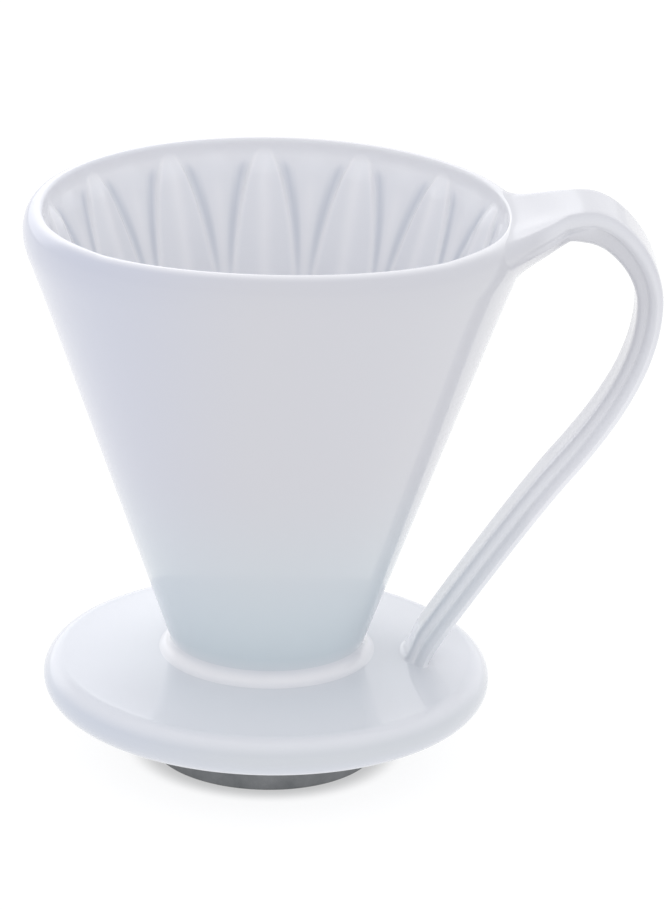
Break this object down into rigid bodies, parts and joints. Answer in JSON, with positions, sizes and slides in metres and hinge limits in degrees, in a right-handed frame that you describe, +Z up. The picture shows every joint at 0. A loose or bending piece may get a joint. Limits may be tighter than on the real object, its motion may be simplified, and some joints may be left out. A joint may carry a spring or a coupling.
{
  "type": "pour over dripper",
  "caption": "White porcelain coffee dripper: fluted open cone on a wide round base disc with a locating ring below and a strap handle.",
  "frame": {"origin": "centre of the locating ring's bottom face, where the free-standing dripper rests", "axes": "+Z up along the cone's axis, +X from the cone towards the handle, +Y completes the right-handed frame"},
  "size_m": [0.1474, 0.116, 0.1376],
  "materials": {
    "glazed_porcelain": "smooth glossy white glaze with a cool tint",
    "bare_porcelain": "matte unglazed foot"
  },
  "bodies": {
    "root": {"cone_body": "glazed_porcelain", "neck_slip": "glazed_porcelain", "base_disc": "glazed_porcelain", "locating_ring": "bare_porcelain", "handle": "glazed_porcelain", "handle_root_slip": "glazed_porcelain", "handle_foot_slip": "glazed_porcelain"}
  },
  "joints": []
}
